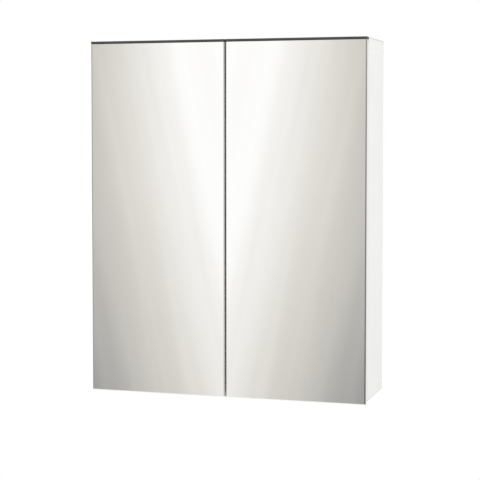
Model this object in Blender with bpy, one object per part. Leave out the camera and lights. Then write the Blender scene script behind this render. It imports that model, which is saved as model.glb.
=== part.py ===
"""Wall-hung medicine cabinet: a white board case with two glass shelves behind two mirror doors.

Metres, +Z up, the doors face -Y and the wall is the plane Y = 0. The origin is the middle of the
hanging rail's rear face, which bears on the wall. Each door swings on two concealed cup hinges.
"""

import math

import bmesh
import bpy
from mathutils import Matrix, Vector

MM = 0.001

# Driving dimensions.
WIDTH = 600 * MM
HEIGHT = 750 * MM
BOARD = 16 * MM
CASE_DEPTH = 152 * MM
DOOR_OVERHANG = 4 * MM
DOOR_STANDOFF = 2 * MM
DOOR_SPLIT = 3 * MM
ADHESIVE_SPACE = 1 * MM
GLASS = 4 * MM
FIT = 0.3 * MM

# Case details.
RAIL_HEIGHT = 70 * MM
BACK_SETBACK = 16 * MM
BACK_THICKNESS = 3 * MM
BACK_GROOVE = 8 * MM
BOARD_ARRIS = 0.6 * MM
PLATE_SIZE = (52 * MM, 1.5 * MM, 32 * MM)
PLATE_CENTRE_X = 225 * MM
PLATE_POCKET = (18 * MM, 9 * MM, 26 * MM)
KEYHOLE_RADIUS = 4.75 * MM
KEYHOLE_SLOT_RADIUS = 2.6 * MM
KEYHOLE_RISE = 10 * MM
PLATE_SCREW_RADIUS = 2.2 * MM
PLATE_SCREW_X = 20 * MM
PLATE_CORNER = 3 * MM

# Shelves and their pins. Heights are measured from the doors' lower edge.
SHELF_HEIGHTS = {"lower": 268 * MM, "upper": 500 * MM}
SHELF_THICKNESS = 5 * MM
SHELF_SIDE_GAP = 1 * MM
SHELF_FRONT = 139 * MM
SHELF_REAR = 21 * MM
PIN_COLUMNS = {"rear": 45 * MM, "front": 115 * MM}
PIN_PITCH = 32 * MM
PIN_HOLES_EACH_WAY = 2
PIN_RADIUS = 2.4 * MM
PIN_DEPTH = 9 * MM
PIN_REACH = 9 * MM
PIN_COLLAR_RADIUS = 4 * MM
PIN_COLLAR_THICKNESS = 1.2 * MM
PIN_TONGUE_WIDTH = 6.4 * MM
PIN_TONGUE_RISE = 0.4 * MM

# Doors.
TRIM_HEIGHT = 5 * MM
TRIM_ROUND = 1.2 * MM
TRIM_SPINE = (2 * MM, 8 * MM)
FINGER_BEVEL = 10 * MM
MIRROR_ARRIS = 0.9 * MM
FILM_THICKNESS = 0.4 * MM
FILM_MARGIN = 14 * MM
BUMPER_RADIUS = 4 * MM
BUMPER_FROM_SPLIT = 22 * MM

# Hinge. Its points are (inward, forward) from the front outer corner of the side board, and its
# heights are measured from the hinge's own centre line.
HINGE_HEIGHTS = {"lower": 100 * MM, "upper": 650 * MM}
OUTER_CASE_PIVOT = Vector((24.4, -14.6)) * MM
OUTER_DOOR_PIVOT = Vector((8.0, 7.0)) * MM
INNER_CASE_PIVOT = Vector((29.7, 3.0)) * MM
INNER_DOOR_END = Vector((13.2, 8.2)) * MM
HINGE_PIN = 1.2 * MM
HINGE_EYE_BORE = 1.4 * MM
CUP_CENTRE = 20.5 * MM
CUP_RADIUS = 17.5 * MM
CUP_WALL = 1.1 * MM
CUP_DEPTH = 12.2 * MM
CUP_FLOOR = 0.9 * MM
CUP_PIN_REACH = 11.3 * MM
FLANGE_THICKNESS = 1.1 * MM
FLANGE_RADIUS = 18.9 * MM
FLANGE_EDGE = 4.2 * MM
FLANGE_WING = (26 * MM, 10 * MM, 29.5 * MM)
FLANGE_WING_CORNER = 6 * MM
CUP_SCREW_HEIGHT = 24 * MM
CUP_SCREW_BORE = 2.1 * MM
ARM_INNER = 7.2 * MM
ARM_OUTER = 8.4 * MM
ARM_WEB = (29.5 * MM, 31 * MM)
ARM_REAR = -58 * MM
ARM_WEB_FRONT = -6 * MM
ARM_CHEEK_FRONT = -4 * MM
ARM_CHEEK_SLOPE = (Vector((24.0, -6.0)) * MM, Vector((19.6, -14.0)) * MM)
ARM_CHEEK_FOOT_FRONT = -20 * MM
ARM_NOSE = 2.4 * MM
ARM_STUB = 3.9 * MM
ARM_SCREW_BORE = 2.6 * MM
ARM_SCREW_PLACES = (-47 * MM, -30 * MM)
PLATE_WING = (16.3 * MM, 18.3 * MM)
PLATE_WING_SPAN = (-48 * MM, -26 * MM)
PLATE_WING_HEIGHT = 23 * MM
PLATE_BLOCK_TOP = 26 * MM
PLATE_BLOCK_SPAN = (-56 * MM, -22 * MM)
PLATE_BLOCK_HALF = 6.8 * MM
PLATE_BLOCK_SLOPE = 4 * MM
WING_SCREW_HEIGHT = 16 * MM
WING_SCREW_BORE = 2.3 * MM
OUTER_LINK_HALF = 2.2 * MM
OUTER_LINK_HUB_HALF = 3.6 * MM
OUTER_LINK_HUBS = (2.6 * MM, 2.1 * MM)
OUTER_LINK_STRIP_HALF = 1.25 * MM
OUTER_LINK_BENDS = [Vector(bend) * MM for bend in ((20.6, -3.0), (20.0, 6.5), (16.6, 10.9), (11.3, 10.9))]
INNER_LINK_LAYER = (4.2 * MM, 5.6 * MM)
INNER_LINK_STUB = 6.8 * MM
INNER_LINK_EYE = 2.3 * MM
INNER_LINK_END = 1.9 * MM
INNER_LINK_STRIP_HALF = 1.15 * MM
INNER_LINK_BENDS = [Vector(bend) * MM for bend in ((16.0, 10.3), (24.5, 10.8), (29.6, 10.4), (31.9, 7.2))]
INNER_LINK_BAR = (Vector((31.6, 9.2)) * MM, 1.2 * MM)

# Planes that follow from them.
DOOR_BACK = CASE_DEPTH + DOOR_STANDOFF
DOOR_FRONT = DOOR_BACK + BOARD
GLASS_BACK = DOOR_FRONT + ADHESIVE_SPACE
GLASS_FRONT = GLASS_BACK + GLASS
INNER_HALF = WIDTH / 2 - BOARD
RAIL_CENTRE = HEIGHT - BOARD - FIT - RAIL_HEIGHT / 2
SIDES = {"left": -1, "right": 1}


def level(height):
    """Z of a height measured from the doors' lower edge."""
    return height - RAIL_CENTRE


def clear_scene():
    for obj in list(bpy.data.objects):
        bpy.data.objects.remove(obj, do_unlink=True)


def make_material(name, colour, roughness, metallic=0.0):
    material = bpy.data.materials.new(name)
    material.use_nodes = True
    shader = material.node_tree.nodes["Principled BSDF"]
    shader.inputs["Base Color"].default_value = (*colour, 1.0)
    shader.inputs["Roughness"].default_value = roughness
    shader.inputs["Metallic"].default_value = metallic
    return material


def new_object(name, mesh_maker):
    """A linked object whose mesh the given function fills."""
    mesh = bpy.data.meshes.new(name)
    shape = bmesh.new()
    mesh_maker(shape)
    bmesh.ops.recalc_face_normals(shape, faces=shape.faces)
    shape.to_mesh(mesh)
    shape.free()
    obj = bpy.data.objects.new(name, mesh)
    bpy.context.scene.collection.objects.link(obj)
    return obj


def box(name, low, high, arris=0.0):
    """A block between two corners, its edges broken by an arris if one is given."""

    def fill(shape):
        bmesh.ops.create_cube(shape, size=1.0)
        size = [top - bottom for bottom, top in zip(low, high)]
        centre = [(top + bottom) / 2 for bottom, top in zip(low, high)]
        bmesh.ops.scale(shape, vec=size, verts=shape.verts)
        bmesh.ops.translate(shape, vec=centre, verts=shape.verts)
        if arris:
            bmesh.ops.bevel(shape, geom=shape.edges[:], offset=arris, segments=1, affect="EDGES")

    return new_object(name, fill)


def prism(name, outline, low, high, place):
    """An outline of (a, b) points carried from low to high, with place(a, b, c) giving the world point."""

    def fill(shape):
        rings = [[shape.verts.new(place(a, b, c)) for a, b in outline] for c in (low, high)]
        shape.faces.new(rings[0])
        shape.faces.new(rings[1])
        for index in range(len(outline)):
            after = (index + 1) % len(outline)
            shape.faces.new((rings[0][index], rings[0][after], rings[1][after], rings[1][index]))

    return new_object(name, fill)


def arc(centre, radius, start, end, steps):
    """Points along an arc, both ends included, with its angles in degrees."""
    angles = [math.radians(start + (end - start) * step / steps) for step in range(steps + 1)]
    return [(centre[0] + radius * math.cos(a), centre[1] + radius * math.sin(a)) for a in angles]


def circle(centre, radius, steps=16):
    return arc(centre, radius, 0, 360, steps)[:-1]


def rounded_rectangle(centre, half_width, half_height, corner, steps):
    """The outline of a rectangle with rounded corners."""
    outline = []
    for sign_a, sign_b, start in ((1, 1, 0), (-1, 1, 90), (-1, -1, 180), (1, -1, 270)):
        middle = (centre[0] + sign_a * (half_width - corner), centre[1] + sign_b * (half_height - corner))
        outline += arc(middle, corner, start, start + 90, steps)
    return outline


def combine(obj, other, operation):
    """Cuts the other object from the first or joins it on, and takes the other away."""
    modifier = obj.modifiers.new(operation.lower(), "BOOLEAN")
    modifier.operation = operation
    modifier.object = other
    modifier.solver = "EXACT"
    bpy.context.view_layer.update()
    evaluated = obj.evaluated_get(bpy.context.evaluated_depsgraph_get())
    mesh = bpy.data.meshes.new_from_object(evaluated)
    obj.modifiers.clear()
    obj.data = mesh
    mesh.name = obj.name
    bpy.data.objects.remove(other, do_unlink=True)
    return obj


def finish(obj, material, origin=None, smooth=False):
    """Gives the object its material, its origin and, on a round piece, smooth shading."""
    if origin is not None:
        obj.data.transform(Matrix.Translation(-Vector(origin)))
        obj.location = origin
    obj.data.materials.clear()
    obj.data.materials.append(material)
    if smooth:
        obj.data.shade_smooth()
        obj.data.set_sharp_from_angle(angle=math.radians(40))
    return obj


def copy_at(obj, name, offset):
    """A second object that shares the first one's mesh."""
    twin = obj.copy()
    twin.name = name
    twin.location = obj.location + Vector(offset)
    bpy.context.scene.collection.objects.link(twin)
    return twin


# Case ---------------------------------------------------------------------------------------


def back_groove(name, low, high):
    """The block that cuts the back board's groove: BACK_GROOVE deep, as wide as the board plus its fit."""
    front = -(BACK_SETBACK + BACK_THICKNESS + 2 * FIT)
    return box(name, (low[0], front, low[1]), (high[0], -BACK_SETBACK, high[1]))


def pin_places():
    """(shelf, column, depth, height) of the eight pins that carry the shelves."""
    for shelf, height in SHELF_HEIGHTS.items():
        for column, depth in PIN_COLUMNS.items():
            yield shelf, column, depth, height - FIT - PIN_RADIUS


def along_x(a, b, c):
    return (c, a, b)


def along_y(a, b, c):
    return (a, c, b)


def side_panel(side, material):
    sign = SIDES[side]
    outer = sign * WIDTH / 2
    inner = sign * INNER_HALF
    low_x, high_x = sorted((outer, inner))
    panel = box(f"side_panel_{side}", (low_x, -CASE_DEPTH, level(DOOR_OVERHANG)),
                (high_x, 0, level(HEIGHT)), BOARD_ARRIS)
    groove_x = sorted((inner + sign * BACK_GROOVE, inner - sign * BOARD))
    foot = level(DOOR_OVERHANG + BOARD - BACK_GROOVE)
    top = level(HEIGHT - BOARD + BACK_GROOVE)
    combine(panel, back_groove("groove", (groove_x[0], foot), (groove_x[1], top)), "DIFFERENCE")
    ends = sorted((inner + sign * (PIN_DEPTH + FIT), inner - sign * BOARD))
    for _, _, depth, height in pin_places():
        for step in range(-PIN_HOLES_EACH_WAY, PIN_HOLES_EACH_WAY + 1):
            centre = (-depth, level(height + step * PIN_PITCH))
            hole = prism("hole", circle(centre, PIN_RADIUS + FIT, 12), *ends, along_x)
            combine(panel, hole, "DIFFERENCE")
    return finish(panel, material)


def cross_panel(name, bottom, groove_from, groove_to, material):
    """The top or bottom board, with its groove between two heights."""
    reach = INNER_HALF - FIT
    panel = box(name, (-reach, -CASE_DEPTH, level(bottom)), (reach, 0, level(bottom + BOARD)), BOARD_ARRIS)
    cutter = back_groove("groove", (-WIDTH, level(groove_from)), (WIDTH, level(groove_to)))
    combine(panel, cutter, "DIFFERENCE")
    return finish(panel, material)


def back_panel(material):
    reach = INNER_HALF + BACK_GROOVE - 2 * FIT
    rear = -(BACK_SETBACK + FIT)
    low = DOOR_OVERHANG + BOARD - BACK_GROOVE + 2 * FIT
    high = HEIGHT - BOARD + BACK_GROOVE - 2 * FIT
    panel = box("back_panel", (-reach, rear - BACK_THICKNESS, level(low)), (reach, rear, level(high)))
    return finish(panel, material)


def keyhole_outline(centre_x, centre_z):
    """A round hole for the screw's head with a narrower slot that rises from it."""
    half = KEYHOLE_SLOT_RADIUS
    meet = math.degrees(math.acos(half / KEYHOLE_RADIUS))
    lower = arc((centre_x, centre_z), KEYHOLE_RADIUS, 180 - meet, 360 + meet, 14)
    upper = arc((centre_x, centre_z + KEYHOLE_RISE), half, 0, 180, 6)
    return lower + upper


def hanging_rail(material):
    half = RAIL_HEIGHT / 2
    rail = box("hanging_rail", (-INNER_HALF + FIT, -BACK_SETBACK + FIT, -half),
               (INNER_HALF - FIT, 0, half), BOARD_ARRIS)
    for sign in SIDES.values():
        x = sign * PLATE_CENTRE_X
        recess = [size / 2 + FIT for size in (PLATE_SIZE[0], PLATE_SIZE[2])]
        depth = PLATE_SIZE[1] + 2 * FIT
        shallow = box("recess", (x - recess[0], -depth, -recess[1]), (x + recess[0], depth, recess[1]))
        combine(rail, shallow, "DIFFERENCE")
        pocket = box("pocket", (x - PLATE_POCKET[0] / 2, -PLATE_POCKET[1], -PLATE_POCKET[2] / 2),
                     (x + PLATE_POCKET[0] / 2, depth, PLATE_POCKET[2] / 2))
        combine(rail, pocket, "DIFFERENCE")
    return finish(rail, material)


def hanging_plate(side, material):
    x = SIDES[side] * PLATE_CENTRE_X
    outline = rounded_rectangle((x, 0), PLATE_SIZE[0] / 2, PLATE_SIZE[2] / 2, PLATE_CORNER, 3)
    rear = -FIT
    plate = prism(f"hanging_plate_{side}", outline, rear - PLATE_SIZE[1], rear, along_y)
    keyhole = prism("keyhole", keyhole_outline(x, -KEYHOLE_RISE / 2), -BOARD, BOARD, along_y)
    combine(plate, keyhole, "DIFFERENCE")
    for sign in SIDES.values():
        centre = (x + sign * PLATE_SCREW_X, 0)
        bore = prism("bore", circle(centre, PLATE_SCREW_RADIUS, 12), -BOARD, BOARD, along_y)
        combine(plate, bore, "DIFFERENCE")
    return finish(plate, material, smooth=True)


def shelf(name, height, material):
    reach = INNER_HALF - SHELF_SIDE_GAP
    panel = box(name, (-reach, -SHELF_FRONT, level(height)),
                (reach, -SHELF_REAR, level(height + SHELF_THICKNESS)), BOARD_ARRIS)
    return finish(panel, material)


def shelf_pin(name, side, depth, height, material):
    """A round shank in the side board's hole, a collar against its face, and a flat tongue."""
    sign = SIDES[side]
    inner = sign * INNER_HALF
    centre = (-depth, level(height))
    shank = sorted((inner + sign * PIN_DEPTH, inner - sign * PIN_RADIUS))
    pin = prism(name, circle(centre, PIN_RADIUS, 12), *shank, along_x)
    collar_x = sorted((inner - sign * FIT, inner - sign * (FIT + PIN_COLLAR_THICKNESS)))
    below = PIN_COLLAR_RADIUS - PIN_RADIUS
    collar_outline = circle((centre[0], centre[1] - below), PIN_COLLAR_RADIUS, 14)
    combine(pin, prism("collar", collar_outline, *collar_x, along_x), "UNION")
    tongue_x = sorted((inner - sign * PIN_COLLAR_THICKNESS, inner - sign * PIN_REACH))
    half = PIN_TONGUE_WIDTH / 2
    tongue = box("tongue", (tongue_x[0], centre[0] - half, centre[1] + PIN_TONGUE_RISE),
                 (tongue_x[1], centre[0] + half, centre[1] + PIN_RADIUS))
    combine(pin, tongue, "UNION")
    return finish(pin, material, smooth=True)


def build_case(materials):
    for side in SIDES:
        side_panel(side, materials["board"])
        hanging_plate(side, materials["steel"])
    inner_bottom = DOOR_OVERHANG + BOARD
    inner_top = HEIGHT - BOARD
    cross_panel("bottom_panel", DOOR_OVERHANG, inner_bottom - BACK_GROOVE, inner_bottom + BOARD,
                materials["board"])
    cross_panel("top_panel", inner_top, inner_top - BOARD, inner_top + BACK_GROOVE, materials["board"])
    back_panel(materials["back"])
    hanging_rail(materials["board"])
    for name, height in SHELF_HEIGHTS.items():
        shelf(f"{name}_shelf", height, materials["glass"])
    for side in SIDES:
        for name, column, depth, height in pin_places():
            shelf_pin(f"{name}_shelf_pin_{side}_{column}", side, depth, height, materials["nickel"])


# Doors --------------------------------------------------------------------------------------


def door_edges(side):
    """X of the hinge edge and of the edge at the split, in rising order."""
    sign = SIDES[side]
    return sorted((sign * WIDTH / 2, sign * DOOR_SPLIT / 2))


def door_axis(side):
    """The point on the door's own pivot pins at the origin's height."""
    return hinge_place(side)(*OUTER_DOOR_PIVOT, 0)


def door_panel(side, material):
    """The door board: a groove for the trim's spine along its top, a finger bevel behind its foot."""
    top = level(HEIGHT - TRIM_HEIGHT - FIT)
    bottom = level(0)
    middle = -(DOOR_BACK + DOOR_FRONT) / 2
    slot = TRIM_SPINE[0] / 2 + FIT
    floor = top - TRIM_SPINE[1] - FIT
    outline = [
        (-DOOR_FRONT, bottom), (-DOOR_FRONT, top), (middle - slot, top), (middle - slot, floor),
        (middle + slot, floor), (middle + slot, top), (-DOOR_BACK, top),
        (-DOOR_BACK, bottom + FINGER_BEVEL), (-DOOR_BACK - FINGER_BEVEL, bottom),
    ]
    panel = prism(f"{side}_door_panel", outline, *door_edges(side), along_x)
    place = hinge_place(side)
    for height in HINGE_HEIGHTS.values():
        centre = (place(CUP_CENTRE, 0, 0)[0], level(height))
        outline = circle(centre, CUP_RADIUS + FIT, 32)
        bore = prism("bore", outline, -(DOOR_BACK + CUP_DEPTH + FIT), 0, along_y)
        combine(panel, bore, "DIFFERENCE")
    return finish(panel, material, door_axis(side))


def door_mirror(side, material):
    low_x, high_x = door_edges(side)

    def fill(shape):
        bmesh.ops.create_cube(shape, size=1.0)
        low = Vector((low_x, -GLASS_FRONT, level(0)))
        high = Vector((high_x, -GLASS_BACK, level(HEIGHT - TRIM_HEIGHT - FIT)))
        bmesh.ops.scale(shape, vec=high - low, verts=shape.verts)
        bmesh.ops.translate(shape, vec=(high + low) / 2, verts=shape.verts)
        front = [edge for edge in shape.edges if all(v.co.y < -GLASS_FRONT + FIT for v in edge.verts)]
        bmesh.ops.bevel(shape, geom=front, offset=MIRROR_ARRIS, segments=1, affect="EDGES")

    return finish(new_object(f"{side}_door_mirror", fill), material, door_axis(side))


def mirror_adhesive(side, material):
    low_x, high_x = door_edges(side)
    rear = -(DOOR_FRONT + FIT)
    film = box(f"{side}_mirror_adhesive", (low_x + FILM_MARGIN, rear - FILM_THICKNESS, level(FILM_MARGIN)),
               (high_x - FILM_MARGIN, rear, level(HEIGHT - TRIM_HEIGHT - FILM_MARGIN)))
    return finish(film, material, door_axis(side))


def top_trim(side, material):
    """A T-shaped strip: its cap covers the tops of the board and the glass, its spine sits in the board."""
    top = level(HEIGHT)
    foot = top - TRIM_HEIGHT
    middle = -(DOOR_BACK + DOOR_FRONT) / 2
    half = TRIM_SPINE[0] / 2
    outline = [(-GLASS_FRONT, foot)]
    outline += arc((-GLASS_FRONT + TRIM_ROUND, top - TRIM_ROUND), TRIM_ROUND, 180, 90, 4)
    outline += arc((-DOOR_BACK - TRIM_ROUND, top - TRIM_ROUND), TRIM_ROUND, 90, 0, 4)
    outline += [(-DOOR_BACK, foot), (middle + half, foot), (middle + half, foot - TRIM_SPINE[1]),
                (middle - half, foot - TRIM_SPINE[1]), (middle - half, foot)]
    trim = prism(f"{side}_door_top_trim", outline, *door_edges(side), along_x)
    return finish(trim, material, door_axis(side), smooth=True)


def door_bumper(name, side, height, material):
    """A soft dome on the back of the door that meets the case's front edge."""
    centre = (SIDES[side] * BUMPER_FROM_SPLIT, level(height))
    rear = -(CASE_DEPTH + FIT)
    thickness = DOOR_STANDOFF - 2 * FIT
    profile = [(1.0, 0.0), (1.0, 0.45), (0.8, 0.85), (0.45, 1.0)]

    def fill(shape):
        rings = []
        for radius, share in profile:
            ring = circle(centre, BUMPER_RADIUS * radius, 12)
            depth = rear - thickness * (1 - share)
            rings.append([shape.verts.new((x, depth, z)) for x, z in ring])
        shape.faces.new(rings[0])
        shape.faces.new(rings[-1])
        for near, far in zip(rings, rings[1:]):
            bmesh.ops.bridge_loops(shape, edges=loop_edges(shape, near) + loop_edges(shape, far))

    return finish(new_object(name, fill), material, door_axis(side), smooth=True)


def loop_edges(shape, ring):
    """The edges round a ring of points, made where they are missing."""
    pairs = zip(ring, ring[1:] + ring[:1])
    return [shape.edges.get(pair) or shape.edges.new(pair) for pair in pairs]


def build_doors(materials):
    heights = {"lower": DOOR_OVERHANG + BOARD / 2, "upper": HEIGHT - BOARD / 2}
    for side in SIDES:
        door_panel(side, materials["board"])
        mirror_adhesive(side, materials["adhesive"])
        door_mirror(side, materials["mirror"])
        top_trim(side, materials["trim"])
        for end, height in heights.items():
            door_bumper(f"{side}_{end}_bumper", side, height, materials["silicone"])


# Hinges -------------------------------------------------------------------------------------


def hinge_place(side):
    """The function that turns a hinge's (inward, forward, up) into a world point."""
    sign = SIDES[side]

    def place(inward, forward, up):
        return (sign * (WIDTH / 2 - inward), -(CASE_DEPTH + forward), up)

    return place


def hinge_axis(side, pivot):
    return hinge_place(side)(*pivot, 0)


def post(name, side, centre, radius, low, high, steps=12):
    """A round bar that stands along the hinge's height."""
    return prism(name, circle(centre, radius, steps), low, high, hinge_place(side))


def across(side):
    """The placing of an outline drawn in (inward, up) and carried along forward."""
    place = hinge_place(side)
    return lambda inward, up, forward: place(inward, forward, up)


def inward_bar(side):
    """The placing of an outline drawn in (forward, up) and carried along inward."""
    place = hinge_place(side)
    return lambda forward, up, inward: place(inward, forward, up)


def mounting_plate(side, material):
    """A winged plate on the side board and the raised block that the arm slides over."""
    place = hinge_place(side)
    wing = [(PLATE_WING[0], PLATE_WING_SPAN[0]), (PLATE_WING[1], PLATE_WING_SPAN[0]),
            (PLATE_WING[1], PLATE_WING_SPAN[1]), (PLATE_WING[0], PLATE_WING_SPAN[1])]
    plate = prism("plate", wing, -PLATE_WING_HEIGHT, PLATE_WING_HEIGHT, place)
    rear, front = PLATE_BLOCK_SPAN
    block = [(PLATE_WING[0], rear), (PLATE_BLOCK_TOP, rear), (PLATE_BLOCK_TOP, front - PLATE_BLOCK_SLOPE),
             (PLATE_BLOCK_TOP - PLATE_BLOCK_SLOPE, front), (PLATE_WING[0], front)]
    combine(plate, prism("block", block, -PLATE_BLOCK_HALF, PLATE_BLOCK_HALF, place), "UNION")
    middle = sum(PLATE_WING_SPAN) / 2
    for sign in (-1, 1):
        outline = circle((middle, sign * WING_SCREW_HEIGHT), WING_SCREW_BORE, 12)
        combine(plate, prism("bore", outline, 0, WIDTH / 4, inward_bar(side)), "DIFFERENCE")
    return finish(plate, material, smooth=True)


def arm_cheek_outline():
    """The side view of the arm: a long cheek that hooks forward to the inner link's pivot."""
    nose = arc(INNER_CASE_PIVOT, ARM_NOSE, 0, 180, 8)
    return [
        (PLATE_WING[1] + FIT, ARM_REAR), (ARM_WEB[1], ARM_REAR), (ARM_WEB[1], ARM_CHEEK_FRONT), *nose,
        *ARM_CHEEK_SLOPE, (PLATE_WING[1] + FIT, ARM_CHEEK_FOOT_FRONT),
    ]


def hinge_arm(side, material):
    """Two cheeks and a web, with the outer link's pin across them and a stub for each inner cheek."""
    place = hinge_place(side)
    outline = arm_cheek_outline()
    arm = prism("arm", outline, -ARM_OUTER, -ARM_INNER, place)
    combine(arm, prism("cheek", outline, ARM_INNER, ARM_OUTER, place), "UNION")
    web = [(ARM_WEB[0], ARM_REAR), (ARM_WEB[1], ARM_REAR),
           (ARM_WEB[1], ARM_WEB_FRONT), (ARM_WEB[0], ARM_WEB_FRONT)]
    combine(arm, prism("web", web, -ARM_OUTER, ARM_OUTER, place), "UNION")
    combine(arm, post("pin", side, OUTER_CASE_PIVOT, HINGE_PIN, -ARM_OUTER, ARM_OUTER), "UNION")
    for low, high in ((-ARM_OUTER, -ARM_STUB), (ARM_STUB, ARM_OUTER)):
        combine(arm, post("stub", side, INNER_CASE_PIVOT, HINGE_PIN, low, high), "UNION")
    for forward in ARM_SCREW_PLACES:
        outline = circle((forward, 0), ARM_SCREW_BORE, 12)
        bore = prism("bore", outline, PLATE_BLOCK_TOP, WIDTH / 4, inward_bar(side))
        combine(arm, bore, "DIFFERENCE")
    return finish(arm, material, smooth=True)


def strip_outline(route, half):
    """The outline of a strip of one width along a route of points, with mitred corners."""
    points = [Vector(point) for point in route]
    left, right = [], []
    for index, point in enumerate(points):
        before = (point - points[index - 1]).normalized() if index else None
        after = (points[index + 1] - point).normalized() if index + 1 < len(points) else None
        run = ((before or after) + (after or before)).normalized()
        reach = half / run.dot(after or before)
        normal = Vector((-run.y, run.x)) * reach
        left.append(tuple(point + normal))
        right.append(tuple(point - normal))
    return left + right[::-1]


def outer_link(side, material):
    """The middle link: a plate that hooks round the side board's corner, with a hub at each pin."""
    outline = strip_outline([OUTER_CASE_PIVOT, *OUTER_LINK_BENDS, OUTER_DOOR_PIVOT], OUTER_LINK_STRIP_HALF)
    link = prism("link", outline, -OUTER_LINK_HALF, OUTER_LINK_HALF, hinge_place(side))
    hubs = tuple(zip((OUTER_CASE_PIVOT, OUTER_DOOR_PIVOT), OUTER_LINK_HUBS))
    for pivot, radius in hubs:
        hub = post("hub", side, pivot, radius, -OUTER_LINK_HUB_HALF, OUTER_LINK_HUB_HALF)
        combine(link, hub, "UNION")
    for pivot, _ in hubs:
        combine(link, post("bore", side, pivot, HINGE_EYE_BORE, -BOARD, BOARD), "DIFFERENCE")
    return finish(link, material, hinge_axis(side, OUTER_CASE_PIVOT), smooth=True)


def inner_link(side, material):
    """Two thin cheeks joined by a bar, which run from the arm's stubs down into the cup."""
    outline = strip_outline([INNER_DOOR_END, *INNER_LINK_BENDS, INNER_CASE_PIVOT], INNER_LINK_STRIP_HALF)
    inner, outer = INNER_LINK_LAYER
    link = post("bar", side, *INNER_LINK_BAR, -outer, outer)
    for low, high in ((inner, outer), (-outer, -inner)):
        combine(link, prism("strip", outline, low, high, hinge_place(side)), "UNION")
        combine(link, post("eye", side, INNER_CASE_PIVOT, INNER_LINK_EYE, low, high), "UNION")
        combine(link, post("end", side, INNER_DOOR_END, INNER_LINK_END, low, high), "UNION")
    for low, high in ((inner, INNER_LINK_STUB), (-INNER_LINK_STUB, -inner)):
        combine(link, post("stub", side, INNER_DOOR_END, HINGE_PIN, low, high), "UNION")
    combine(link, post("bore", side, INNER_CASE_PIVOT, HINGE_EYE_BORE, -BOARD, BOARD), "DIFFERENCE")
    return finish(link, material, hinge_axis(side, INNER_CASE_PIVOT), smooth=True)


def past_flange_edge(side, low, high):
    """The block that cuts everything nearer to the door's edge than the flange reaches."""
    outline = [(-BOARD, -WIDTH), (FLANGE_EDGE, -WIDTH), (FLANGE_EDGE, WIDTH), (-BOARD, WIDTH)]
    return prism("edge", outline, low, high, across(side))


def cup_flange(side, low, high):
    """The cup's mounting flange: a disc cut off at the door's edge side, with a wing above and below."""
    place = across(side)
    flange = prism("flange", circle((CUP_CENTRE, 0), FLANGE_RADIUS, 32), low, high, place)
    centre, half, reach = FLANGE_WING
    wing = rounded_rectangle((centre, 0), half, reach, FLANGE_WING_CORNER, 4)
    combine(flange, prism("wing", wing, low, high, place), "UNION")
    combine(flange, past_flange_edge(side, -BOARD, BOARD), "DIFFERENCE")
    for sign in (-1, 1):
        bore = circle((centre, sign * CUP_SCREW_HEIGHT), CUP_SCREW_BORE, 12)
        combine(flange, prism("bore", bore, -BOARD, BOARD, place), "DIFFERENCE")
    return flange


def hinge_cup(side, material):
    """A pressed cup let into the door, its flange on the door's back, and its pin from wall to wall."""
    place = across(side)
    rim = DOOR_STANDOFF - FIT
    floor = DOOR_STANDOFF + CUP_DEPTH - FIT
    cup = cup_flange(side, rim - FLANGE_THICKNESS, rim)
    body = prism("body", circle((CUP_CENTRE, 0), CUP_RADIUS, 32), rim - FLANGE_THICKNESS / 2, floor, place)
    combine(body, past_flange_edge(side, -BOARD, rim), "DIFFERENCE")
    combine(cup, body, "UNION")
    hollow = circle((CUP_CENTRE, 0), CUP_RADIUS - CUP_WALL, 32)
    combine(cup, prism("hollow", hollow, -BOARD, floor - CUP_FLOOR, place), "DIFFERENCE")
    combine(cup, post("pin", side, OUTER_DOOR_PIVOT, HINGE_PIN, -CUP_PIN_REACH, CUP_PIN_REACH), "UNION")
    return finish(cup, material, door_axis(side), smooth=True)


def build_hinges(materials):
    makers = {"mounting_plate": mounting_plate, "hinge_arm": hinge_arm, "outer_link": outer_link,
              "inner_link": inner_link, "hinge_cup": hinge_cup}
    for side in SIDES:
        for piece, maker in makers.items():
            first = maker(side, materials["nickel"])
            first.name = f"{side}_lower_{piece}"
            rise = HINGE_HEIGHTS["upper"] - HINGE_HEIGHTS["lower"]
            first.location.z += level(HINGE_HEIGHTS["lower"])
            copy_at(first, f"{side}_upper_{piece}", (0, 0, rise))


def main():
    clear_scene()
    materials = {
        "board": make_material("white_board", (0.86, 0.86, 0.85), 0.45),
        "back": make_material("back_board", (0.85, 0.85, 0.84), 0.5),
        "mirror": make_material("mirror", (0.9, 0.9, 0.9), 0.03, 1.0),
        "adhesive": make_material("adhesive", (0.75, 0.75, 0.72), 0.8),
        "trim": make_material("dark_trim", (0.05, 0.055, 0.055), 0.4, 0.6),
        "glass": make_material("shelf_glass", (0.8, 0.93, 0.88), 0.05),
        "nickel": make_material("nickel", (0.7, 0.7, 0.69), 0.25, 1.0),
        "steel": make_material("zinc_steel", (0.6, 0.62, 0.65), 0.4, 1.0),
        "silicone": make_material("silicone", (0.85, 0.87, 0.88), 0.4),
    }
    build_case(materials)
    build_doors(materials)
    build_hinges(materials)


main()
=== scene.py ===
"""Medicine cabinet with two mirror doors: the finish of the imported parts, the pieces that only the
looks need, a plain studio and the camera. Metres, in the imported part's own frame: the doors face -Y
and the wall is the plane Y = 0.
"""

import math

import bmesh
import bpy
from mathutils import Matrix, Vector


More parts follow.
